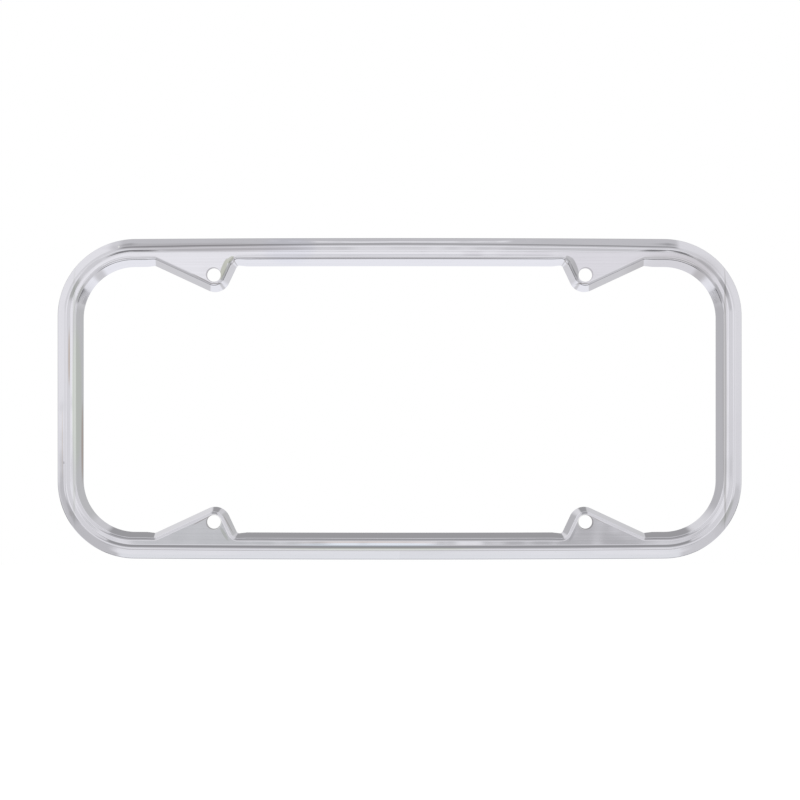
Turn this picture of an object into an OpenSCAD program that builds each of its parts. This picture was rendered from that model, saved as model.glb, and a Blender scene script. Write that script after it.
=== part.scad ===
// Pressed steel frame that holds a vehicle number plate.
// One sheet: a raised edge and a skirt round the outside, a flat face with four
// drilled tabs, and a lip that runs back all the way round the opening and the tabs.

/* [Sheet] */
// Thickness of the steel sheet
sheet_t = 1; // [0.6:0.1:1.5]
// Width over the skirt
frame_w = 352; // [320:1:400]
// Height over the skirt
frame_h = 165.5; // [155:0.5:185]
// Radius of the outer corners
corner_r = 40; // [34:1:48]
// Depth of the skirt behind the flat face
skirt_depth = 12; // [10:0.5:20]

/* [Raised edge] */
// Front radius of the hollow where the flat face starts to rise
hollow_r = 2; // [1:0.1:3]
// Slope of the rise, in degrees
rise_angle = 25; // [15:1:35]
// Length of the straight part of the rise
rise_run = 1.2; // [0.6:0.1:1.6]
// Front radius of the rolled crest
crest_r = 1.7; // [1.6:0.1:2.2]
// Mean slope of the bevel outside the crest, in degrees
bevel_angle = 47.6; // [42:0.1:54]
// Length of the bevel across its width
bevel_run = 5; // [4:0.1:5.5]
// Angle through which the bevel is crowned, in degrees
bevel_crown = 8; // [4:1:12]
// Front radius between the bevel and the skirt
shoulder_r = 1.6; // [1.6:0.1:2.4]

/* [Opening and lip] */
// Width of the opening at the back of the lip
opening_w = 326.8; // [310:0.1:330]
// Height of the opening at the back of the lip
opening_h = 137.8; // [134:0.1:140]
// Corner radius of the opening at the back of the lip
opening_r = 26.9; // [22:0.1:30]
// Depth of the lip behind the flat face
lip_depth = 10; // [7:0.5:10]
// Front radius of the bend between the face and the lip
lip_bend_r = 2; // [1.6:0.1:2.6]
// Lean of the lip towards the opening, in degrees
lip_lean = 12.5; // [8:0.5:15]

/* [Tabs and bolt holes] */
// Distance between the bolt holes across the frame
hole_pitch_x = 190.5; // [185:0.5:200]
// Distance between the bolt holes up the frame
hole_pitch_y = 127; // [124:0.5:129]
// Diameter of a bolt hole
hole_d = 7; // [5:0.1:7.2]
// Radius of the flat face round a tab's tip
tab_tip_r = 4.1; // [4:0.1:5]
// Distance of the tip's centre from the hole, away from the frame's middle line
tab_tip_out = 0.2; // [-0.4:0.1:0.4]
// Distance of the tip's centre from the hole, towards the opening
tab_tip_in = 0.35; // [0:0.05:0.8]
// Slope of the tab's long side, in degrees. The other side is square to it.
long_angle = 25.23; // [22:0.01:30]
// Radius at the foot of a tab, at the back of the lip
tab_foot_r = 1.3; // [0.6:0.1:2]

/* [Hidden] */
$fn = 72;
// Width by which the raised edge and the lip run on under the flat face
seam = 0.4;
// Overrun of the straight sides past the middle, so that the halves fuse
overrun = 0.01;
// Step between the points of the flat face's hidden edges, in degrees
face_step = 10;

// Sections, each a list of [straight run, turn, front radius]. A turn up is above zero.
crown_start = bevel_angle - bevel_crown / 2;
crown_end = bevel_angle + bevel_crown / 2;
crown_r = bevel_run / (bevel_crown * PI / 180);
edge_bends = [
    [seam, rise_angle, hollow_r],
    [rise_run, -(rise_angle + crown_start), crest_r],
    [0, -bevel_crown, crown_r],
    [0, -(90 - crown_end), shoulder_r],
];
edge_end = strip_end(edge_bends);
edge_section = concat(edge_bends, [[skirt_depth + edge_end.y, 0, 0]]);
edge_reach = edge_end.x - seam;

lip_turn = 90 - lip_lean;
lip_run = (lip_depth - lip_bend_r * (1 - cos(lip_turn))) / sin(lip_turn);
lip_section = [[seam, -lip_turn, lip_bend_r], [lip_run, 0, 0]];
lip_reach = strip_end(lip_section).x - seam;

// Where the raised edge starts: the outline moved in by the section's reach
edge_r = corner_r - edge_reach;
edge_top = frame_h / 2 - edge_reach;
edge_path = [
    [frame_w / 2 - corner_r, -90, edge_r],
    [frame_h / 2 - corner_r + overrun, 0, 0],
];

// Where the lip starts: the opening moved out by the lip's reach, and the tab
lip_r = opening_r + lip_reach;
lip_top = opening_h / 2 + lip_reach;
foot_r = tab_foot_r + lip_reach;
tip = [hole_pitch_x / 2 + tab_tip_out, hole_pitch_y / 2 - tab_tip_in];
tip_rise = lip_top - foot_r - tip.y;
steep_angle = 90 - long_angle;
steep_run = (tip_rise + (tab_tip_r + foot_r) * cos(steep_angle)) / sin(steep_angle);
long_run = (tip_rise + (tab_tip_r + foot_r) * cos(long_angle)) / sin(long_angle);
steep_foot_x = tip.x - (tab_tip_r + foot_r) * sin(steep_angle) - steep_run * cos(steep_angle);
long_foot_x = tip.x + (tab_tip_r + foot_r) * sin(long_angle) + long_run * cos(long_angle);
lip_path = [
    [steep_foot_x, -steep_angle, foot_r],
    [steep_run, steep_angle + long_angle, tab_tip_r],
    [long_run, -long_angle, foot_r],
    [opening_w / 2 - opening_r - long_foot_x, -90, lip_r],
    [opening_h / 2 - opening_r + overrun, 0, 0],
];

// Unit vector at an angle
function ray(angle) = [cos(angle), sin(angle)];

// Centre of a turn that starts at a point with a heading
function turn_centre(at, heading, turn, radius) = at + radius * ray(heading + sign(turn) * 90);

// Point on a turn's circle, seen from its centre when the heading is as given
function turn_rim(heading, turn, radius) = radius * ray(heading - sign(turn) * 90);

// End of a list of [run, turn, radius] steps that starts at the origin
function strip_end(steps, at = [0, 0], heading = 0, i = 0) =
    i == len(steps) ? at :
    let(run = steps[i][0], turn = steps[i][1], radius = steps[i][2])
    let(corner = at + run * ray(heading))
    let(centre = turn_centre(corner, heading, turn, radius))
    let(next = turn == 0 ? corner : centre + turn_rim(heading + turn, turn, radius))
    strip_end(steps, next, heading + turn, i + 1);

// Points along a path of such steps, set over to its left by shift
function trace(steps, shift, at, heading = 0, i = 0) =
    i == len(steps) ? [at + shift * ray(heading + 90)] :
    let(run = steps[i][0], turn = steps[i][1], radius = steps[i][2])
    let(corner = at + run * ray(heading))
    let(centre = turn_centre(corner, heading, turn, radius))
    let(count = max(1, ceil(abs(turn) / face_step)))
    let(arc_r = radius - sign(turn) * shift)
    let(arc = [for (k = [0:count]) centre + turn_rim(heading + turn * k / count, turn, arc_r)])
    let(next = turn == 0 ? corner : centre + turn_rim(heading + turn, turn, radius))
    concat(turn == 0 ? [] : arc, trace(steps, shift, next, heading + turn, i + 1));

// Slice of a ring between two radii, from the line X = 0 round through a turn
module ring_slice(inner_r, outer_r, turn) {
    reach = 2 * outer_r;
    intersection() {
        difference() {
            circle(r = outer_r);
            circle(r = inner_r);
        }
        translate([0, -reach])
            square([reach, 2 * reach]);
        rotate(turn)
            translate([-reach, -reach])
                square([reach, 2 * reach]);
    }
}

// Sheet seen edge on: its front is the line that the steps draw, its back sheet_t below
module strip(steps, i = 0) {
    if (i < len(steps)) {
        run = steps[i][0];
        turn = steps[i][1];
        radius = steps[i][2];
        centre_y = sign(turn) * radius;
        back_r = radius + sign(turn) * sheet_t;
        if (run > 0)
            translate([0, -sheet_t])
                square([run, sheet_t]);
        if (turn != 0)
            translate([run, centre_y]) {
                ring_slice(min(radius, back_r), max(radius, back_r), turn);
                rotate(turn)
                    translate([0, -centre_y])
                        strip(steps, i + 1);
            }
    }
}

// Carries a section along a path of steps. The section's X points right of the path.
module follow(steps, i = 0) {
    if (i < len(steps)) {
        run = steps[i][0];
        turn = steps[i][1];
        radius = steps[i][2];
        centre_y = sign(turn) * radius;
        translate([run, 0, 0])
            rotate([90, 0, -90])
                linear_extrude(height = run)
                    children();
        if (turn != 0)
            translate([run, centre_y, 0])
                rotate(turn) {
                    rotate(turn > 0 ? -90 - turn : 90)
                        rotate_extrude(angle = abs(turn))
                            translate([radius, 0])
                                mirror([turn > 0 ? 0 : 1, 0])
                                    children();
                    translate([0, -centre_y, 0])
                        follow(steps, i + 1)
                            children();
                }
    }
}

// Raised edge and skirt of one quarter
module edge_quarter() {
    translate([0, edge_top, 0])
        follow(edge_path)
            mirror([1, 0])
                translate([-seam, 0])
                    strip(edge_section);
}

// Bend and lip of one quarter, round the opening and its tab
module lip_quarter() {
    translate([0, lip_top, 0])
        follow(lip_path)
            translate([-seam, 0])
                strip(lip_section);
}

// Flat face of one quarter, with its tab
module face_quarter() {
    outside = trace(edge_path, -seam / 2, [0, edge_top]);
    inside = trace(lip_path, seam / 2, [0, lip_top]);
    translate([0, 0, -sheet_t])
        linear_extrude(height = sheet_t)
            polygon(concat(
                [[0, edge_top - seam / 2]],
                outside,
                [for (k = [len(inside) - 1:-1:0]) inside[k]],
                [[0, lip_top + seam / 2]]
            ));
}

// The four quarters of the pressed sheet
module pressed_sheet() {
    for (side = [0, 1])
        mirror([side, 0, 0])
            for (half = [0, 1])
                mirror([0, half, 0]) {
                    edge_quarter();
                    face_quarter();
                    lip_quarter();
                }
}

// Bolt holes through the four tabs
module bolt_holes() {
    for (x = [-1, 1])
        for (y = [-1, 1])
            translate([x * hole_pitch_x / 2, y * hole_pitch_y / 2, -2 * sheet_t])
                cylinder(d = hole_d, h = 4 * sheet_t);
}

// The frame, standing upright with its front towards -Y
module plate_frame() {
    color([0.78, 0.78, 0.8])
        rotate([90, 0, 0])
            difference() {
                pressed_sheet();
                bolt_holes();
            }
}

plate_frame();
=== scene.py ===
"""Number plate holder: one pressed and polished steel frame, under soft studio light."""
import logging
import math
from dataclasses import dataclass, field
from enum import Enum
from typing import Iterable

import bmesh
import bpy
from mathutils import Matrix, Vector


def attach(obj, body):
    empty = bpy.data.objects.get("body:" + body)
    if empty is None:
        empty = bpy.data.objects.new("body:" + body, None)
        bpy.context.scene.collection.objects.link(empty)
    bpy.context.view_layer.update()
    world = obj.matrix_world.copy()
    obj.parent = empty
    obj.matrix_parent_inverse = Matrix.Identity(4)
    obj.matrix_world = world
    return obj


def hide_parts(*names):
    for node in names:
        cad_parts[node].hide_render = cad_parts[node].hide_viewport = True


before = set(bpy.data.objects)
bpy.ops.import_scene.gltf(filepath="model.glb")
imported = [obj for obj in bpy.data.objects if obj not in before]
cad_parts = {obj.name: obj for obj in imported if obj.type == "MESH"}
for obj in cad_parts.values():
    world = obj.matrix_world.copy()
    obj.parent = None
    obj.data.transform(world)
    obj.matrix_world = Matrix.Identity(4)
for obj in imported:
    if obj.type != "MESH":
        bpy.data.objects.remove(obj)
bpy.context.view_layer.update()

LOG = logging.getLogger("plate_holder")
MM = 0.001
# Within these distances, in metres, two points are one, or a point lies in a plane.
TOUCH = 1e-6
SNAP = 2e-6
# A face counts as flat where its normal has at least this share along z.
FLAT_SHARE = 0.999
WHITE = (1.0, 1.0, 1.0, 1.0)

Colour = tuple[float, float, float]
Geometry = list[bmesh.types.BMVert | bmesh.types.BMEdge]
Value = float | bpy.types.NodeSocket
Light = tuple[float, ...] | bpy.types.NodeSocket


def smooth(share: float) -> float:
    """Returns a share kept between 0 and 1, with soft ends."""
    share = min(max(share, 0.0), 1.0)
    return share * share * (3 - 2 * share)


def to_linear(tone: float) -> float:
    """Returns the linear light of a display tone between 0 and 1."""
    return tone / 12.92 if tone <= 0.04045 else ((tone + 0.055) / 1.055) ** 2.4


def edges_at(verts: Iterable[bmesh.types.BMVert]) -> list[bmesh.types.BMEdge]:
    """Returns the edges that meet some vertices, each once and always in one order."""
    return list(dict.fromkeys(edge for vert in verts for edge in vert.link_edges))


class Hand(Enum):
    """Side of a path on which a section is drawn, seen along the path."""

    LEFT = 1
    RIGHT = -1


@dataclass(frozen=True)
class Step:
    """One straight run and the turn after it, in millimetres and degrees.

    The pinch is the share of the section's reach that is left at the end of the run.
    """

    run: float
    turn: float = 0.0
    radius: float = 0.0
    run_cuts: int = 1
    turn_cuts: int = 8
    pinch: float = 1.0


@dataclass
class Walker:
    """A point that walks along steps and drags vertices or a section with it."""

    mesh: bmesh.types.BMesh
    at: Vector
    heading: Vector
    axis: Vector

    def walk(self, geom: Geometry, steps: Iterable[Step]) -> Geometry:
        """Drags geometry along the steps, leaving edges or faces behind.

        Args:
            geom: Vertices, and edges where a section is swept.
            steps: The runs and turns to follow.

        Returns:
            The geometry at the end of the walk.
        """
        for step in steps:
            if step.run > 0:
                geom = self._run(geom, step)
            if step.turn:
                geom = self._turn(geom, step)
        return geom

    def _run(self, geom: Geometry, step: Step) -> Geometry:
        """Extrudes geometry along a straight run, in equal cuts, and pinches its end.

        Args:
            geom: What is dragged.
            step: The step that gives the run, its cuts and the pinch.

        Returns:
            The geometry at the end of the run.
        """
        move = self.heading * (step.run * MM / step.run_cuts)
        for _ in range(step.run_cuts):
            edges = [g for g in geom if isinstance(g, bmesh.types.BMEdge)]
            verts = [g for g in geom if isinstance(g, bmesh.types.BMVert)]
            if edges:
                geom = self._rank(bmesh.ops.extrude_edge_only(self.mesh, edges=edges)["geom"])
            else:
                geom = bmesh.ops.extrude_vert_indiv(self.mesh, verts=verts)["verts"]
            verts = [g for g in geom if isinstance(g, bmesh.types.BMVert)]
            bmesh.ops.translate(self.mesh, verts=verts, vec=move)
        self.at = self.at + self.heading * (step.run * MM)
        if step.pinch != 1.0:
            squeeze = Matrix.Scale(step.pinch, 4, self.axis.cross(self.heading))
            bmesh.ops.transform(
                self.mesh, matrix=squeeze, space=Matrix.Translation(-self.at), verts=verts)
        return geom

    def _turn(self, geom: Geometry, step: Step) -> Geometry:
        """Spins geometry round a step's turn.

        Args:
            geom: What is dragged.
            step: The step that gives the turn and its cuts.

        Returns:
            The geometry at the end of the turn.
        """
        inward = self.axis.cross(self.heading) * math.copysign(1.0, step.turn)
        centre = self.at + inward * (step.radius * MM)
        angle = math.radians(step.turn)
        made = bmesh.ops.spin(
            self.mesh, geom=geom, cent=centre, axis=self.axis, angle=angle,
            steps=step.turn_cuts, use_merge=False, use_duplicate=False)
        swing = Matrix.Rotation(angle, 3, self.axis)
        self.at = centre + swing @ (self.at - centre)
        self.heading = swing @ self.heading
        return self._rank(made["geom_last"])

    @staticmethod
    def _rank(geom: list) -> Geometry:
        """Returns the vertices and edges of some geometry, without its faces."""
        return [g for g in geom if not isinstance(g, bmesh.types.BMFace)]


@dataclass(frozen=True)
class Cuts:
    """How many faces lie along each bend and run of the sheet."""

    hollow: int = 6
    crest: int = 14
    bevel: int = 6
    shoulder: int = 8
    skirt: int = 3
    lip_bend: int = 14
    lip: int = 4
    long_bar: int = 28
    corner: int = 36
    end_bar: int = 10
    between_tabs: int = 17
    steep_foot: int = 16
    steep_side: int = 4
    tab_tip: int = 24
    long_side: int = 8
    long_foot: int = 8
    beyond_tab: int = 3
    hole: int = 48
    broken_edge: int = 3


@dataclass
class PressedFrame:
    """The frame: one sheet with a skirt, a raised edge, a flat face, tabs and a lip.

    Sizes are in millimetres and angles in degrees, as on the pressed part. The two
    sections, and how far they reach over the sheet, are worked out from the sizes.
    """

    sheet_t: float = 1.0
    width: float = 352.0
    height: float = 165.5
    corner_r: float = 40.0
    skirt_depth: float = 12.0
    hollow_r: float = 2.0
    rise_angle: float = 25.0
    rise_run: float = 1.2
    crest_r: float = 1.7
    bevel_angle: float = 47.6
    bevel_run: float = 5.0
    bevel_crown: float = 8.0
    shoulder_r: float = 1.6
    opening_w: float = 326.8
    opening_h: float = 137.8
    opening_r: float = 26.9
    lip_depth: float = 10.0
    lip_bend_r: float = 2.0
    lip_lean: float = 17.0
    hole_pitch_x: float = 190.5
    hole_pitch_y: float = 127.0
    hole_d: float = 7.0
    hole_ring: float = 0.09
    tab_tip_r: float = 3.8
    tab_tip_out: float = 0.1
    tab_tip_in: float = -0.05
    long_angle: float = 25.23
    tab_foot_r: float = 1.3
    tab_pinch: float = 0.9
    tab_taper: float = 4.0
    seam: float = 0.03
    edge_round: float = 0.08
    sharp_angle: float = 50.0
    bow: float = 0.5
    swing_top: float = -0.45
    swing_below: float = 0.45
    swing_end: float = 0.65
    swing_rise: float = 0.5
    swing_fall: float = 0.25
    shading_weight: int = 90
    name: str = "pressed_frame"
    node: str = "plate_frame"
    cuts: Cuts = Cuts()
    section_edge: list[Step] = field(init=False)
    section_lip: list[Step] = field(init=False)
    edge_reach: float = field(init=False)
    lip_reach: float = field(init=False)

    def __post_init__(self) -> None:
        """Works out the two sections from the sizes."""
        cuts = self.cuts
        crown_start = self.bevel_angle - self.bevel_crown / 2
        crown_end = self.bevel_angle + self.bevel_crown / 2
        crown_r = self.bevel_run / math.radians(self.bevel_crown)
        bends = [
            Step(self.seam, self.rise_angle, self.hollow_r, turn_cuts=cuts.hollow),
            Step(self.rise_run, -(self.rise_angle + crown_start), self.crest_r, turn_cuts=cuts.crest),
            Step(0.0, -self.bevel_crown, crown_r, turn_cuts=cuts.bevel),
            Step(0.0, -(90 - crown_end), self.shoulder_r, turn_cuts=cuts.shoulder),
        ]
        end = self._end_of(bends)
        self.edge_reach = end.x - self.seam
        self.section_edge = bends + [Step(self.skirt_depth + end.y, run_cuts=cuts.skirt)]
        turn = 90 - self.lip_lean
        drop = self.lip_bend_r * (1 - math.cos(math.radians(turn)))
        run = (self.lip_depth - drop) / math.sin(math.radians(turn))
        self.section_lip = [
            Step(self.seam, -turn, self.lip_bend_r, turn_cuts=cuts.lip_bend),
            Step(run, run_cuts=cuts.lip),
        ]
        self.lip_reach = self._end_of(self.section_lip).x - self.seam

    @staticmethod
    def _end_of(steps: list[Step]) -> Vector:
        """Works out where a walk ends that starts at the origin.

        Args:
            steps: The steps of the walk.

        Returns:
            The end, in millimetres.
        """
        at, heading = Vector((0.0, 0.0)), 0.0
        for step in steps:
            at += Vector((math.cos(heading), math.sin(heading))) * step.run
            side = math.copysign(1.0, step.turn)
            after = heading + math.radians(step.turn)
            at.x += side * step.radius * (math.sin(after) - math.sin(heading))
            at.y -= side * step.radius * (math.cos(after) - math.cos(heading))
            heading = after
        return at

    def _edge_path(self) -> list[Step]:
        """Works out the quarter path where the flat face meets the raised edge.

        Returns:
            The steps from the middle of the top bar to the middle of the end bar.
        """
        cuts = self.cuts
        return [
            Step(self.width / 2 - self.corner_r, -90, self.corner_r - self.edge_reach,
                 cuts.long_bar, cuts.corner),
            Step(self.height / 2 - self.corner_r, run_cuts=cuts.end_bar),
        ]

    def _lip_path(self) -> list[Step]:
        """Works out the quarter path where the flat face meets the lip, round the tab.

        Returns:
            The steps from the middle of the top bar to the middle of the end bar.
        """
        cuts = self.cuts
        steep, long_side = math.radians(90 - self.long_angle), math.radians(self.long_angle)
        foot_r = self.tab_foot_r + self.lip_reach
        top = self.opening_h / 2 + self.lip_reach
        tip_x = self.hole_pitch_x / 2 + self.tab_tip_out
        tip_z = self.hole_pitch_y / 2 - self.tab_tip_in
        rise, both = top - foot_r - tip_z, self.tab_tip_r + foot_r
        steep_run = (rise + both * math.cos(steep)) / math.sin(steep)
        long_run = (rise + both * math.cos(long_side)) / math.sin(long_side)
        steep_x = tip_x - both * math.sin(steep) - steep_run * math.cos(steep)
        long_x = tip_x + both * math.sin(long_side) + long_run * math.cos(long_side)
        corner_x = self.opening_w / 2 - self.opening_r
        taper = self.tab_taper
        return [
            Step(steep_x - taper, run_cuts=cuts.between_tabs),
            Step(taper, self.long_angle - 90, foot_r, 1, cuts.steep_foot, self.tab_pinch),
            Step(steep_run, 90, self.tab_tip_r, cuts.steep_side, cuts.tab_tip),
            Step(long_run, -self.long_angle, foot_r, cuts.long_side, cuts.long_foot),
            Step(taper, pinch=1 / self.tab_pinch),
            Step(corner_x - long_x - taper, -90, self.opening_r + self.lip_reach,
                 cuts.beyond_tab, cuts.corner),
            Step(self.opening_h / 2 - self.opening_r, run_cuts=cuts.end_bar),
        ]

    def _sweep(self, mesh: bmesh.types.BMesh, hand: Hand, top: float,
               section: list[Step], path: list[Step]) -> None:
        """Draws a section at the middle of the top bar and carries it round a quarter.

        Args:
            mesh: The mesh that gets the surface.
            hand: Which side of the path the section lies on.
            top: Height of the path over the middle of the frame, in millimetres.
            section: Steps of the section, away from the flat face.
            path: Steps of the path.
        """
        across = Vector((0, hand.value, 0))
        start = Vector((0, top * MM, 0)) - across * self.seam * MM
        root = bmesh.ops.create_vert(mesh, co=start)["vert"]
        before = set(mesh.verts)
        Walker(mesh, start, across, Vector((hand.value, 0, 0))).walk(root, section)
        verts = root + [v for v in mesh.verts if v not in before]
        carrier = Walker(mesh, Vector((0, top * MM, 0)), Vector((1, 0, 0)), Vector((0, 0, 1)))
        carrier.walk(verts + edges_at(verts), path)

    def _fill_face(self, mesh: bmesh.types.BMesh) -> None:
        """Closes the flat face between the two seams of a quarter, round the bolt hole.

        Args:
            mesh: A quarter that holds the raised edge and the lip.
        """
        for vert in mesh.verts:
            vert.co = [0.0 if abs(c) < SNAP else c for c in vert.co]
        seams = [e for e in mesh.edges if e.is_boundary and all(v.co.z == 0.0 for v in e.verts)
                 and not self._on_middle(e)]
        ends = [v for v in dict.fromkeys(v for e in seams for v in e.verts)
                if sum(e in seams for e in v.link_edges) == 1]
        for index in (0, 1):
            pair = [v for v in ends if v.co[index] == 0.0]
            seams.append(mesh.edges.new(pair))
        hole = Matrix.Translation((self.hole_pitch_x * MM / 2, self.hole_pitch_y * MM / 2, 0))
        ring_r = self.hole_d / 2 + self.hole_ring
        ring = bmesh.ops.create_circle(
            mesh, segments=self.cuts.hole, radius=ring_r * MM, cap_ends=False, matrix=hole)
        ring_edges = edges_at(ring["verts"])
        bmesh.ops.triangle_fill(
            mesh, edges=seams + ring_edges, use_beauty=True, normal=Vector((0, 0, 1)))
        made = bmesh.ops.extrude_edge_only(mesh, edges=ring_edges)["geom"]
        share = self.hole_d / 2 / ring_r
        bmesh.ops.scale(mesh, vec=(share, share, 1), space=hole.inverted(),
                        verts=[g for g in made if isinstance(g, bmesh.types.BMVert)])

    @staticmethod
    def _on_middle(edge: bmesh.types.BMEdge) -> bool:
        """Tells whether an edge lies in one of the two planes that halve the frame."""
        return any(all(v.co[i] == 0.0 for v in edge.verts) for i in (0, 1))

    @staticmethod
    def _mirror(mesh: bmesh.types.BMesh) -> None:
        """Makes the whole frame from its upper right quarter.

        Args:
            mesh: The quarter, closed but for its middle planes and its cut edges.
        """
        for axis in ("X", "Y"):
            bmesh.ops.mirror(mesh, geom=mesh.verts[:] + mesh.edges[:] + mesh.faces[:],
                             axis=axis, merge_dist=TOUCH)
        bmesh.ops.remove_doubles(mesh, verts=mesh.verts, dist=SNAP)
        bmesh.ops.recalc_face_normals(mesh, faces=mesh.faces)
        flat = (f for f in mesh.faces if abs(f.normal.z) > FLAT_SHARE)
        if max(flat, key=lambda f: f.calc_area()).normal.z < 0:
            bmesh.ops.reverse_faces(mesh, faces=mesh.faces)

    def _shape_bars(self, mesh: bmesh.types.BMesh) -> None:
        """Draws the ends of the long bars in and lets the crest swing, as on a real pressing.

        Args:
            mesh: The whole front surface.
        """
        end_x = (self.width / 2 - self.corner_r) * MM
        end_y = (self.height / 2 - self.corner_r) * MM
        radius = self.corner_r * MM
        for vert in mesh.verts:
            x, y = abs(vert.co.x), abs(vert.co.y)
            if y > end_y:
                over = Vector((max(x - end_x, 0.0), y - end_y))
                inward = (radius - over.length) / MM
                middle = self.swing_top if vert.co.y > 0 else self.swing_below
                swing = middle + (self.swing_end - middle) * min(x / end_x, 1.0) ** 2
                swing *= (over.y / over.length) ** 2 * self._crest_share(inward)
                move = over.normalized() * swing * MM
                vert.co.x -= math.copysign(1.0, vert.co.x) * move.x
                vert.co.y -= math.copysign(1.0, vert.co.y) * move.y
            vert.co.y *= 1 - min(x / end_x, 1.0) ** 2 * self.bow / (self.height / 2)

    def _crest_share(self, inward: float) -> float:
        """Returns how much of the crest's swing a point takes, by its way in from the outline."""
        rise = smooth(inward / (self.edge_reach * self.swing_rise))
        return rise * smooth((self.edge_reach - inward) / (self.edge_reach * self.swing_fall))

    def _lay_polish_map(self, mesh: bmesh.types.BMesh) -> None:
        """Gives each face corner its place along and across the nearest bar, in metres.

        Args:
            mesh: The whole front surface.
        """
        layer = mesh.loops.layers.uv.new("polish")
        for face in mesh.faces:
            hand = -1 if face.calc_center_median().x < 0 else 1
            for loop in face.loops:
                along, inward = self._polish_place(loop.vert.co)
                loop[layer].uv = (hand * along, inward)

    def _polish_place(self, co: Vector) -> tuple[float, float]:
        """Works out a point's place on the bars, in metres.

        Args:
            co: The point.

        Returns:
            Its distance round the outline from the top's middle, and in from the outline.
        """
        half_x = (self.width / 2 - self.corner_r) * MM
        half_y = (self.height / 2 - self.corner_r) * MM
        radius = self.corner_r * MM
        quarter = half_x + radius * math.pi / 2 + half_y
        x, y = abs(co.x), abs(co.y)
        if x > half_x and y > half_y:
            along = half_x + math.atan2(x - half_x, y - half_y) * radius
            inward = radius - math.hypot(x - half_x, y - half_y)
        elif y > half_y:
            along, inward = x, half_y + radius - y
        else:
            along, inward = quarter - y, half_x + radius - x
        return along if co.y >= 0 else 2 * quarter - along, inward - co.z

    def build(self) -> bpy.types.Object:
        """Builds the frame's mesh and its object.

        Returns:
            The frame, in its place.
        """
        mesh = bmesh.new()
        self._sweep(mesh, Hand.LEFT, self.height / 2 - self.edge_reach,
                    self.section_edge, self._edge_path())
        self._sweep(mesh, Hand.RIGHT, self.opening_h / 2 + self.lip_reach,
                    self.section_lip, self._lip_path())
        bmesh.ops.remove_doubles(mesh, verts=mesh.verts, dist=TOUCH)
        self._fill_face(mesh)
        self._mirror(mesh)
        self._shape_bars(mesh)
        self._lay_polish_map(mesh)
        upright = Matrix.Rotation(math.pi / 2, 3, "X")
        bmesh.ops.rotate(mesh, verts=mesh.verts, cent=(0, 0, 0), matrix=upright)
        data = bpy.data.meshes.new(self.name)
        mesh.to_mesh(data)
        mesh.free()
        data.shade_smooth()
        piece = bpy.data.objects.new(self.name, data)
        bpy.context.scene.collection.objects.link(piece)
        self._finish_edges(piece)
        return piece

    def _finish_edges(self, piece: bpy.types.Object) -> None:
        """Gives the surface its thickness, breaks the cut edges and evens the shading.

        Args:
            piece: The frame's front surface.
        """
        wall = piece.modifiers.new("sheet", "SOLIDIFY")
        wall.thickness = self.sheet_t * MM
        wall.offset = -1
        wall.use_even_offset = True
        wall.use_quality_normals = True
        broken = piece.modifiers.new("broken_edges", "BEVEL")
        broken.width = self.edge_round * MM
        broken.segments = self.cuts.broken_edge
        broken.limit_method = "ANGLE"
        broken.angle_limit = math.radians(self.sharp_angle)
        even = piece.modifiers.new("even_shading", "WEIGHTED_NORMAL")
        even.mode = "FACE_AREA"
        even.weight = self.shading_weight
        even.keep_sharp = False


class ShaderBoard:
    """A node tree with short ways to add nodes and join them.

    The Mix node has sockets of one name for each kind of value, so those for colours are
    picked by number.
    """

    MIX_SHARE, MIX_FIRST, MIX_SECOND, MIX_RESULT = 0, 6, 7, 2

    def __init__(self, tree: bpy.types.NodeTree) -> None:
        """Empties the tree.

        Args:
            tree: The node tree of a material or a world.
        """
        self.tree = tree
        tree.nodes.clear()

    def node(self, kind: str, inputs: dict | None = None, **settings: object) -> bpy.types.Node:
        """Adds a node.

        Args:
            kind: Blender's name of the node's type.
            inputs: Sockets by name or number, with a value or a socket to join.
            **settings: The node's own properties.

        Returns:
            The new node.
        """
        made = self.tree.nodes.new(kind)
        for name, value in settings.items():
            setattr(made, name, value)
        for key, value in (inputs or {}).items():
            if isinstance(value, bpy.types.NodeSocket):
                self.tree.links.new(value, made.inputs[key])
            else:
                made.inputs[key].default_value = value
        return made

    def maths(self, operation: str, *values: Value) -> bpy.types.NodeSocket:
        """Adds a Math node.

        Args:
            operation: The node's operation.
            *values: Numbers or sockets, in order.

        Returns:
            The socket with the result.
        """
        made = self.node("ShaderNodeMath", dict(enumerate(values)), operation=operation)
        return made.outputs[0]

    def step_up(self, value: Value, low: float, high: float) -> bpy.types.NodeSocket:
        """Adds a smooth step.

        Args:
            value: What is measured.
            low: Where the step starts, at 0.
            high: Where the step ends, at 1.

        Returns:
            The socket with the step's height.
        """
        made = self.node("ShaderNodeMapRange", {"Value": value, "From Min": low, "From Max": high},
                         interpolation_type="SMOOTHSTEP")
        return made.outputs["Result"]

    def mix(self, share: Value, first: Light, second: Light, label: str) -> bpy.types.NodeSocket:
        """Blends two colours.

        Args:
            share: How much of the second colour shows, from 0 to 1.
            first: The first colour.
            second: The second colour.
            label: The name of what the blend adds.

        Returns:
            The socket with the blended colour.
        """
        made = self.node(
            "ShaderNodeMix",
            {self.MIX_SHARE: share, self.MIX_FIRST: first, self.MIX_SECOND: second},
            data_type="RGBA", label=label)
        return made.outputs[self.MIX_RESULT]


@dataclass(frozen=True)
class MarkOrPaintedLight:
    """A patch painted into the steel's colour, an oval by its middle and half sizes, in millimetres;
    most patches are painted shade, painted highlights and painted reflections.

    The lean is the oval's turn in degrees, anticlockwise from in front.
    """

    name: str
    x: float
    z: float
    half_x: float
    half_z: float
    colour: Colour
    strength: float
    blur: float = 0.55
    lean: float = 0.0


# Patches painted into the steel's colour: most are painted shade in folds, creases and hole rims,
# painted highlights and painted reflection tints.
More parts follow.
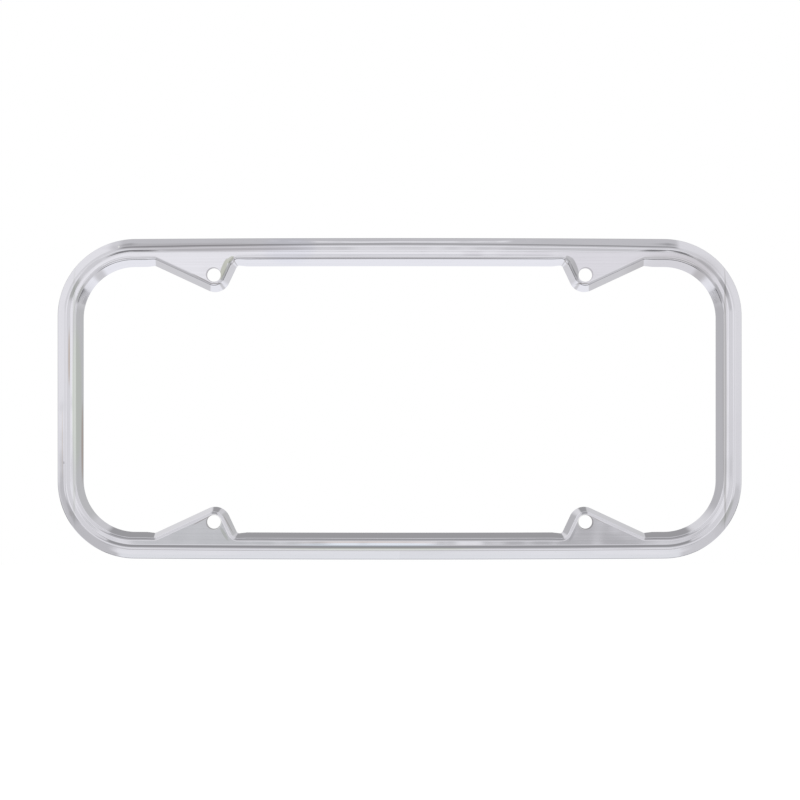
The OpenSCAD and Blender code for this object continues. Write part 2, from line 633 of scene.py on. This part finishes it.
MARKS_AND_PAINTED_LIGHT = (
    # A bluish patch on the top bar, left of the middle.
    MarkOrPaintedLight("bluish patch on top left", -57, 77, 13, 7, (0.72, 0.73, 0.85), 0.32),
    MarkOrPaintedLight("blue patch", -16, -75.2, 36, 0.9, (0.84, 0.90, 1.0), 0.8),
    MarkOrPaintedLight("brown line below", -16, -73.7, 36, 0.35, (0.66, 0.56, 0.50), 0.6),
    MarkOrPaintedLight("brown line left", -169.5, 21, 0.35, 14, (0.62, 0.50, 0.42), 0.8),
    MarkOrPaintedLight("brown line outside", -173.1, -24, 0.3, 18, (0.68, 0.60, 0.54), 0.5),
    # Painted shade: darker patches on the top bar and at the upper right.
    MarkOrPaintedLight("painted shade on top left", -98, 77.4, 46, 2.2, (0.62, 0.60, 0.64), 0.7, 0.8),
    MarkOrPaintedLight("painted shade upper right", 140, 66, 21, 8, (0.66, 0.64, 0.67), 0.8, 0.8),
    MarkOrPaintedLight("shade in the right fold", 166.9, 0, 0.9, 66, (0.62, 0.61, 0.63), 0.95, 0.3),
    MarkOrPaintedLight("shade in the left fold", -166.9, 0, 1.0, 62, (0.70, 0.71, 0.71), 0.8, 0.5),
    MarkOrPaintedLight("brown line on the edge", -163.9, -22, 0.35, 20, (0.55, 0.42, 0.36), 0.7),
    # Painted shade: dark lines along the fold and crease of the top bar.
    MarkOrPaintedLight("painted shade line on the top fold", 0, 73.7, 80, 0.26, (0.60, 0.60, 0.65), 0.75, 0.4),
    MarkOrPaintedLight("painted shade in the top crease", 0, 71.95, 82, 0.24, (0.47, 0.45, 0.48), 0.75, 0.5),
    # Painted reflections: green tints on the left bar and the bottom bar.
    MarkOrPaintedLight("painted green reflection left", -166, 0, 2.0, 34, (0.78, 0.83, 0.76), 0.6),
    MarkOrPaintedLight("painted green reflection below", -10, -77.2, 50, 0.8, (0.76, 0.80, 0.70), 0.5),
    MarkOrPaintedLight("dot", -144.1, 77.8, 0.55, 0.55, (1.0, 1.0, 1.0), 1.0),
    # A small dark spot on the left edge, and a darker spot low on the left.
    MarkOrPaintedLight("small dark spot on the left edge", -172.2, -33, 0.4, 0.7, (0.45, 0.43, 0.45), 0.6),
    MarkOrPaintedLight("darker spot lower left", -168.7, -59.2, 1.4, 1.4, (0.70, 0.68, 0.70), 0.35),
    # Painted highlights: pale rings round the two lower bolt holes.
    MarkOrPaintedLight("painted highlight round lower left hole", -95.25, -63.5, 4.05, 4.05, (1.0, 1.0, 1.0), 0.8, 0.06),
    MarkOrPaintedLight("painted highlight round lower right hole", 95.25, -63.5, 4.05, 4.05, (1.0, 1.0, 1.0), 0.8, 0.06),
    # Painted shade: darker bands on the bends beside the four tabs.
    MarkOrPaintedLight("painted shade on upper left tab bend", -90.4, 66.4, 1.15, 5.6, (0.56, 0.57, 0.51), 0.95, 0.3, -20),
    MarkOrPaintedLight("painted shade on upper left tab foot", -87.1, 71.1, 1.1, 2.6, (0.60, 0.61, 0.55), 0.9, 0.3, -48),
    MarkOrPaintedLight("painted shade on upper right tab bend", 89.9, 67.0, 1.3, 5.4, (0.53, 0.53, 0.55), 0.95, 0.3, 20),
    MarkOrPaintedLight("painted shade on upper right tab foot", 87.2, 71.4, 1.1, 2.4, (0.58, 0.58, 0.60), 0.9, 0.3, 48),
    MarkOrPaintedLight("painted shade on lower left tab bend", -90.0, -69.5, 0.8, 3.8, (0.62, 0.64, 0.60), 0.6, 0.7, 30),
    MarkOrPaintedLight("painted shade on lower right tab bend", 88.7, -69.8, 0.8, 3.6, (0.62, 0.62, 0.66), 0.5, 0.7, -27),
    # Painted shade: thin dark lines in the creases round the tabs.
    MarkOrPaintedLight("painted shade in upper left crease", -85.6, 70.0, 0.2, 2.0, (0.45, 0.42, 0.42), 0.7, 0.5, -40),
    MarkOrPaintedLight("painted shade in upper right crease", 85.6, 70.0, 0.2, 2.0, (0.45, 0.42, 0.42), 0.7, 0.5, 40),
    MarkOrPaintedLight("painted shade in lower left crease", -88.2, -64.4, 0.2, 5.0, (0.45, 0.40, 0.40), 0.6, 0.5, 28),
    MarkOrPaintedLight("painted shade in lower left long crease", -101.6, -62.6, 0.22, 5.0, (0.45, 0.40, 0.40), 0.7, 0.5, -62),
    MarkOrPaintedLight("painted shade in lower right long crease", 101.3, -62.1, 0.2, 5.0, (0.60, 0.57, 0.57), 0.5, 0.5, 62),
    MarkOrPaintedLight("painted shade in upper left long crease", -101.5, 61.5, 0.22, 5.5, (0.45, 0.42, 0.42), 0.7, 0.5, 63),
    MarkOrPaintedLight("painted shade at upper left tab tip", -94.0, 59.0, 3.2, 0.25, (0.42, 0.40, 0.40), 0.7, 0.5),
    MarkOrPaintedLight("painted shade at upper right tab tip", 93.6, 59.0, 3.2, 0.25, (0.42, 0.40, 0.40), 0.7, 0.5),
    # Painted shade: a dark rim on the side of each bolt hole away from the middle.
    MarkOrPaintedLight("painted shade at upper left hole rim", -95.55, 63.45, 3.8, 3.8, (0.42, 0.40, 0.43), 0.7, 0.05),
    MarkOrPaintedLight("painted shade at upper right hole rim", 95.5, 63.6, 3.8, 3.8, (0.42, 0.40, 0.43), 0.5, 0.05),
    MarkOrPaintedLight("painted shade at lower left hole rim", -95.55, -63.5, 3.8, 3.8, (0.42, 0.40, 0.43), 0.7, 0.05),
    MarkOrPaintedLight("painted shade at lower right hole rim", 95.55, -63.5, 3.8, 3.8, (0.42, 0.40, 0.43), 0.8, 0.05),
)


@dataclass(frozen=True)
class PolishedSteel:
    """Polished stainless steel: fine lines along the sheet, slow waves, and painted patches, most of
    them painted shade, highlights and reflections.

    The lines and streaks are given in waves to a metre, along the bars and across them, and
    the heights in metres.
    """

    colour: Colour = (0.853, 0.845, 0.898)
    roughness: float = 0.06
    line_height: float = 0.0001
    line_strength: float = 0.06
    line_detail: float = 3.0
    lines: tuple[float, float] = (12.0, 2600.0)
    wave_height: float = 0.0004
    wave_scale: float = 42.0
    streaks: tuple[float, float] = (9.0, 900.0)
    noise_low: float = 0.3
    noise_high: float = 0.7
    streak_low: float = 0.965
    streak_high: float = 1.025
    name: str = "polished_steel"

    def material(self) -> bpy.types.Material:
        """Makes the finish.

        Returns:
            The node material.
        """
        made = bpy.data.materials.new(self.name)
        made.use_nodes = True
        board = ShaderBoard(made.node_tree)
        shader = board.node("ShaderNodeBsdfPrincipled", {
            "Base Color": self._colour(board), "Metallic": 1.0, "Roughness": self.roughness,
            "Normal": self._surface(board)})
        board.node("ShaderNodeOutputMaterial", {"Surface": shader.outputs[0]})
        return made

    def _drawn_noise(self, board: ShaderBoard, along: float, across: float) -> bpy.types.NodeSocket:
        """Makes noise that is drawn out along the bars.

        Args:
            board: The material's board.
            along: Waves in a metre along the bars.
            across: Waves in a metre across them.

        Returns:
            A socket with values round 0.5.
        """
        place = board.node("ShaderNodeUVMap", uv_map="polish").outputs["UV"]
        drawn = board.node("ShaderNodeMapping", {"Vector": place, "Scale": (along, across, 1.0)})
        noise = board.node("ShaderNodeTexNoise", {
            "Vector": drawn.outputs[0], "Scale": 1.0, "Detail": self.line_detail})
        return noise.outputs["Fac"]

    def _surface(self, board: ShaderBoard) -> bpy.types.NodeSocket:
        """Makes the surface, with slow waves under the fine polishing lines.

        Args:
            board: The material's board.

        Returns:
            The socket with the normal.
        """
        spot = board.node("ShaderNodeTexCoord").outputs["Object"]
        wave = board.node("ShaderNodeTexNoise", {
            "Vector": spot, "Scale": self.wave_scale, "Detail": 1.0})
        slow = board.node("ShaderNodeBump", {
            "Height": wave.outputs["Fac"], "Distance": self.wave_height})
        fine = board.node("ShaderNodeBump", {
            "Height": self._drawn_noise(board, *self.lines), "Distance": self.line_height,
            "Strength": self.line_strength, "Normal": slow.outputs[0]})
        return fine.outputs[0]

    def _colour(self, board: ShaderBoard) -> bpy.types.NodeSocket:
        """Makes the steel's colour, streaked along the bars, with the painted patches laid over it, most
        of them painted shade, highlights and reflections.

        Args:
            board: The material's board.

        Returns:
            The socket with the colour.
        """
        streak = board.node("ShaderNodeMapRange", {
            "Value": self._drawn_noise(board, *self.streaks),
            "From Min": self.noise_low, "From Max": self.noise_high,
            "To Min": self.streak_low, "To Max": self.streak_high}).outputs["Result"]
        streaked = board.node(
            "ShaderNodeVectorMath", {0: self.colour, "Scale": streak}, operation="SCALE")
        steel = streaked.outputs[0]
        spot = board.node("ShaderNodeTexCoord").outputs["Object"]
        right, _, up = board.node("ShaderNodeSeparateXYZ", {0: spot}).outputs
        upright = board.node("ShaderNodeCombineXYZ", {"X": right, "Z": up}).outputs[0]
        # Lays the painted patches over the colour, painted shade, highlights and reflection tints among
        # them.
        for mark in MARKS_AND_PAINTED_LIGHT:
            share = self._mark_share(board, mark, upright)
            steel = board.mix(share, steel, (*mark.colour, 1.0), mark.name)
        return steel

    @staticmethod
    def _mark_share(board: ShaderBoard, mark: MarkOrPaintedLight,
                    upright: bpy.types.NodeSocket) -> bpy.types.NodeSocket:
        """Works out how much of a painted patch shows at a point of the steel.

        Args:
            board: The material's board.
            mark: The mark.
            upright: Socket with the point's place in the face's plane, in metres.

        Returns:
            A share from 0 to the mark's strength.
        """
        laid = board.node("ShaderNodeMapping", {
            "Vector": upright, "Location": (mark.x * MM, 0.0, mark.z * MM),
            "Rotation": (0.0, math.radians(-mark.lean), 0.0),
            "Scale": (mark.half_x * MM, 1.0, mark.half_z * MM)}, vector_type="TEXTURE")
        squares = board.node("ShaderNodeVectorMath", {0: laid.outputs[0], 1: laid.outputs[0]},
                             operation="DOT_PRODUCT").outputs["Value"]
        oval = board.step_up(squares, 1 + mark.blur, 1 - mark.blur)
        return board.maths("MULTIPLY", oval, mark.strength)


@dataclass(frozen=True)
class Card:
    """One soft card of the studio, as the steel sees it.

    Angles are in degrees: `side` is the card's bearing round the camera's axis, from the
    right over the top, and `near` and `far` are its limits from the camera to behind the frame.
    """

    name: str
    side: float
    half_width: float
    near: float
    far: float
    tone: float
    tint: Colour = (1.0, 1.0, 1.0)
    side_blur: float = 10.0
    depth_blur: float = 8.0


CARDS = (
    Card("left wall", 147, 33, 30, 128, 0.82, side_blur=8),
    Card("left wall crown", 147, 33, 88, 128, 0.875, side_blur=6),
    Card("right wall", 35, 42, 30, 128, 0.82, side_blur=8),
    Card("right wall crown", 35, 40, 88, 128, 0.845, side_blur=6),
    Card("left skirting", 214, 35.5, 40, 107, 0.735, side_blur=3),
    Card("right skirting", 337, 22, 56, 107, 0.77, side_blur=10),
    Card("right floor", 338, 10, 16, 97, 0.69, tint=(0.98, 1.0, 0.95), side_blur=8, depth_blur=4),
    Card("left floor", 203, 9, 16, 97, 0.67, side_blur=8, depth_blur=4),
    Card("right table side", 303, 16, 55, 107, 0.785, side_blur=6),
    Card("left gap", 180, 10, 52, 92, 0.875, side_blur=8),
    Card("left far gap", 180, 14, 114, 128, 0.62, side_blur=8),
    Card("right gap", 0, 10, 44, 90, 0.865, side_blur=8),
    Card("left front", 180, 50, 8, 17, 0.89, side_blur=30, depth_blur=4),
    Card("right front", 0, 50, 8, 24, 0.89, side_blur=30, depth_blur=4),
    Card("upper front", 90, 80, 2.2, 11, 0.90, side_blur=24, depth_blur=4),
    Card("upper front right", 50, 24, 6, 12, 0.855, tint=(1.0, 0.99, 1.0), side_blur=20, depth_blur=3),
    Card("lower front left", 205, 42, 2, 6.5, 0.745, tint=(0.98, 1.0, 0.99), side_blur=40, depth_blur=3),
    Card("lower front right", 340, 42, 2, 6.5, 0.68, side_blur=40, depth_blur=3),
    Card("middle front", 270, 181, -10, 1.9, 0.885, depth_blur=2),
    Card("ceiling", 90, 16, 11, 126, 0.74, side_blur=5),
    Card("ceiling low", 90, 20, 24, 58, 0.68, side_blur=10),
    Card("ceiling line", 90, 16, 54, 89, 0.57, side_blur=5, depth_blur=3),
    Card("ceiling lamp", 90, 2.6, 102, 109, 0.89, side_blur=2, depth_blur=4),
    Card("table front", 270, 24, 10, 86, 0.885, side_blur=10, depth_blur=5),
    Card("table middle", 270, 24, 35, 56, 0.765, side_blur=10, depth_blur=5),
    Card("table", 270, 19, 84, 112, 0.87, tint=(0.98, 1.0, 1.0), side_blur=4),
    Card("table line", 270, 34, 57, 64, 0.50, side_blur=16, depth_blur=3),
    Card("table edge", 270, 34, 104, 124, 0.20, side_blur=16, depth_blur=6),
    Card("behind the table", 270, 62, 125, 165, 0.90, tint=(0.99, 1.0, 1.02), side_blur=30),
    Card("right floor line", 340, 9, 111, 136, 0.15, side_blur=4, depth_blur=4),
    Card("left floor line", 200, 9, 111, 136, 0.15, side_blur=4, depth_blur=4),
    Card("table leg left", 234, 7, 125, 160, 0.79, side_blur=8),
    Card("table leg right", 306, 7, 125, 160, 0.78, side_blur=8),
    Card("behind on top", 90, 17, 128, 158, 0.595, side_blur=10, depth_blur=10),
    Card("behind upper left", 118, 11, 128, 158, 0.83, side_blur=12, depth_blur=10),
    Card("behind left", 166, 26, 126, 158, 0.70, side_blur=18),
    Card("behind right", 22, 31, 126, 158, 0.72, tint=(0.99, 1.0, 0.98), side_blur=18),
    Card("behind upper right", 65, 8, 128, 158, 0.77, side_blur=10, depth_blur=10),
)


@dataclass
class Studio:
    """Pale floor, soft surround, and the camera in front of the frame.

    Sizes are in metres, and the sensor in millimetres. The steel share is the part of a
    card's light that the steel sends back.
    """

    camera_distance: float = 1.2
    field_width: float = 0.4103
    sensor: float = 36.0
    aim_x: float = 0.00018
    aim_z: float = -0.00083
    camera_drop: float = 0.065
    floor_drop: float = 0.42
    floor_half: float = 20.0
    floor_colour: Light = (0.8, 0.8, 0.8, 1.0)
    floor_glow: float = 0.6
    base_tone: float = 0.80
    steel_share: float = 0.86

    def set_camera(self) -> None:
        """Makes the camera, level and square to the frame."""
        data = bpy.data.cameras.new("camera")
        data.sensor_width = self.sensor
        data.lens = self.sensor * self.camera_distance / self.field_width
        data.shift_y = self.camera_drop / self.field_width
        camera = bpy.data.objects.new("camera", data)
        camera.location = (self.aim_x, -self.camera_distance, self.aim_z - self.camera_drop)
        camera.rotation_euler = (math.pi / 2, 0, 0)
        bpy.context.scene.collection.objects.link(camera)
        bpy.context.scene.camera = camera

    def set_world(self) -> None:
        """Makes the surround: white to the camera, and soft cards in the metal."""
        world = bpy.data.worlds.new("surround")
        world.use_nodes = True
        bpy.context.scene.world = world
        board = ShaderBoard(world.node_tree)
        way = board.node("ShaderNodeTexCoord").outputs["Generated"]
        right, back, up = board.node("ShaderNodeSeparateXYZ", {0: way}).outputs
        from_lens = self._in_degrees(board, board.maths("MULTIPLY", back, -1.0))
        flat = board.node("ShaderNodeCombineXYZ", {"X": right, "Z": up}).outputs[0]
        bearing = board.node("ShaderNodeVectorMath", {0: flat}, operation="NORMALIZE").outputs[0]
        light = self._radiance(self.base_tone)
        for card in CARDS:
            share = self._card_share(board, card, from_lens, bearing)
            light = board.mix(share, light, self._radiance(card.tone, card.tint), card.name)
        seen = board.node("ShaderNodeLightPath").outputs["Is Camera Ray"]
        shade = board.node("ShaderNodeBackground", {"Color": light, "Strength": 1.0})
        white = board.node("ShaderNodeBackground", {"Color": WHITE, "Strength": 1.0})
        both = board.node("ShaderNodeMixShader", {0: seen, 1: shade.outputs[0], 2: white.outputs[0]})
        board.node("ShaderNodeOutputWorld", {"Surface": both.outputs[0]})

    def _radiance(self, tone: float, tint: Colour = (1.0, 1.0, 1.0)) -> tuple[float, ...]:
        """Returns the light a card needs to show with a display tone in the steel."""
        light = to_linear(tone) / self.steel_share
        return tuple(light * part for part in tint) + (1.0,)

    @staticmethod
    def _in_degrees(board: ShaderBoard, cosine: bpy.types.NodeSocket) -> bpy.types.NodeSocket:
        """Returns the angle of a cosine, in degrees."""
        return board.maths("DEGREES", board.maths("ARCCOSINE", cosine))

    def _card_share(self, board: ShaderBoard, card: Card, from_lens: bpy.types.NodeSocket,
                    bearing: bpy.types.NodeSocket) -> bpy.types.NodeSocket:
        """Works out how much of a card shows in a direction.

        Args:
            board: The world's board.
            card: The card.
            from_lens: Angle between the direction and the camera's axis, in degrees.
            bearing: Unit vector of the direction's bearing round that axis.

        Returns:
            A share from 0 to 1.
        """
        side = math.radians(card.side)
        middle = (math.cos(side), 0.0, math.sin(side))
        dot = board.node("ShaderNodeVectorMath", {0: bearing, 1: middle}, operation="DOT_PRODUCT")
        off = self._in_degrees(board, dot.outputs["Value"])
        half, blur = card.side_blur / 2, card.depth_blur / 2
        across = board.step_up(off, card.half_width + half, card.half_width - half)
        nearer = board.step_up(from_lens, card.near - blur, card.near + blur)
        farther = board.step_up(from_lens, card.far + blur, card.far - blur)
        return board.maths("MULTIPLY", across, board.maths("MULTIPLY", nearer, farther))

    def set_floor(self) -> None:
        """Lays the floor well below the frame, white to the camera where no shadow falls."""
        mesh = bmesh.new()
        bmesh.ops.create_grid(mesh, x_segments=1, y_segments=1, size=self.floor_half)
        bmesh.ops.translate(mesh, verts=mesh.verts, vec=(0, 0, -self.floor_drop))
        data = bpy.data.meshes.new("floor")
        mesh.to_mesh(data)
        mesh.free()
        data.materials.append(self._floor_material())
        floor = bpy.data.objects.new("floor", data)
        bpy.context.scene.collection.objects.link(floor)
        floor.visible_glossy = False

    def _floor_material(self) -> bpy.types.Material:
        """Makes the floor's finish.

        Returns:
            A matt material that glows to the camera alone.
        """
        made = bpy.data.materials.new("pale_floor")
        made.use_nodes = True
        board = ShaderBoard(made.node_tree)
        seen = board.node("ShaderNodeLightPath").outputs["Is Camera Ray"]
        matt = board.node("ShaderNodeBsdfDiffuse", {"Color": self.floor_colour})
        glow = board.node("ShaderNodeEmission", {
            "Color": WHITE, "Strength": board.maths("MULTIPLY", seen, self.floor_glow)})
        both = board.node("ShaderNodeAddShader", {0: matt.outputs[0], 1: glow.outputs[0]})
        board.node("ShaderNodeOutputMaterial", {"Surface": both.outputs[0]})
        return made


def main() -> None:
    """Builds the frame, dresses it and sets the studio."""
    logging.basicConfig(level=logging.INFO, format="%(name)s: %(message)s")
    bpy.context.scene.view_settings.view_transform = "Standard"
    holder = PressedFrame()
    piece = holder.build()
    piece.data.materials.append(PolishedSteel().material())
    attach(piece, "root")
    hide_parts(holder.node)
    LOG.info("%s: %d faces", piece.name, len(piece.data.polygons))
    studio = Studio()
    studio.set_camera()
    studio.set_world()
    studio.set_floor()


if __name__ == "__main__":
    main()
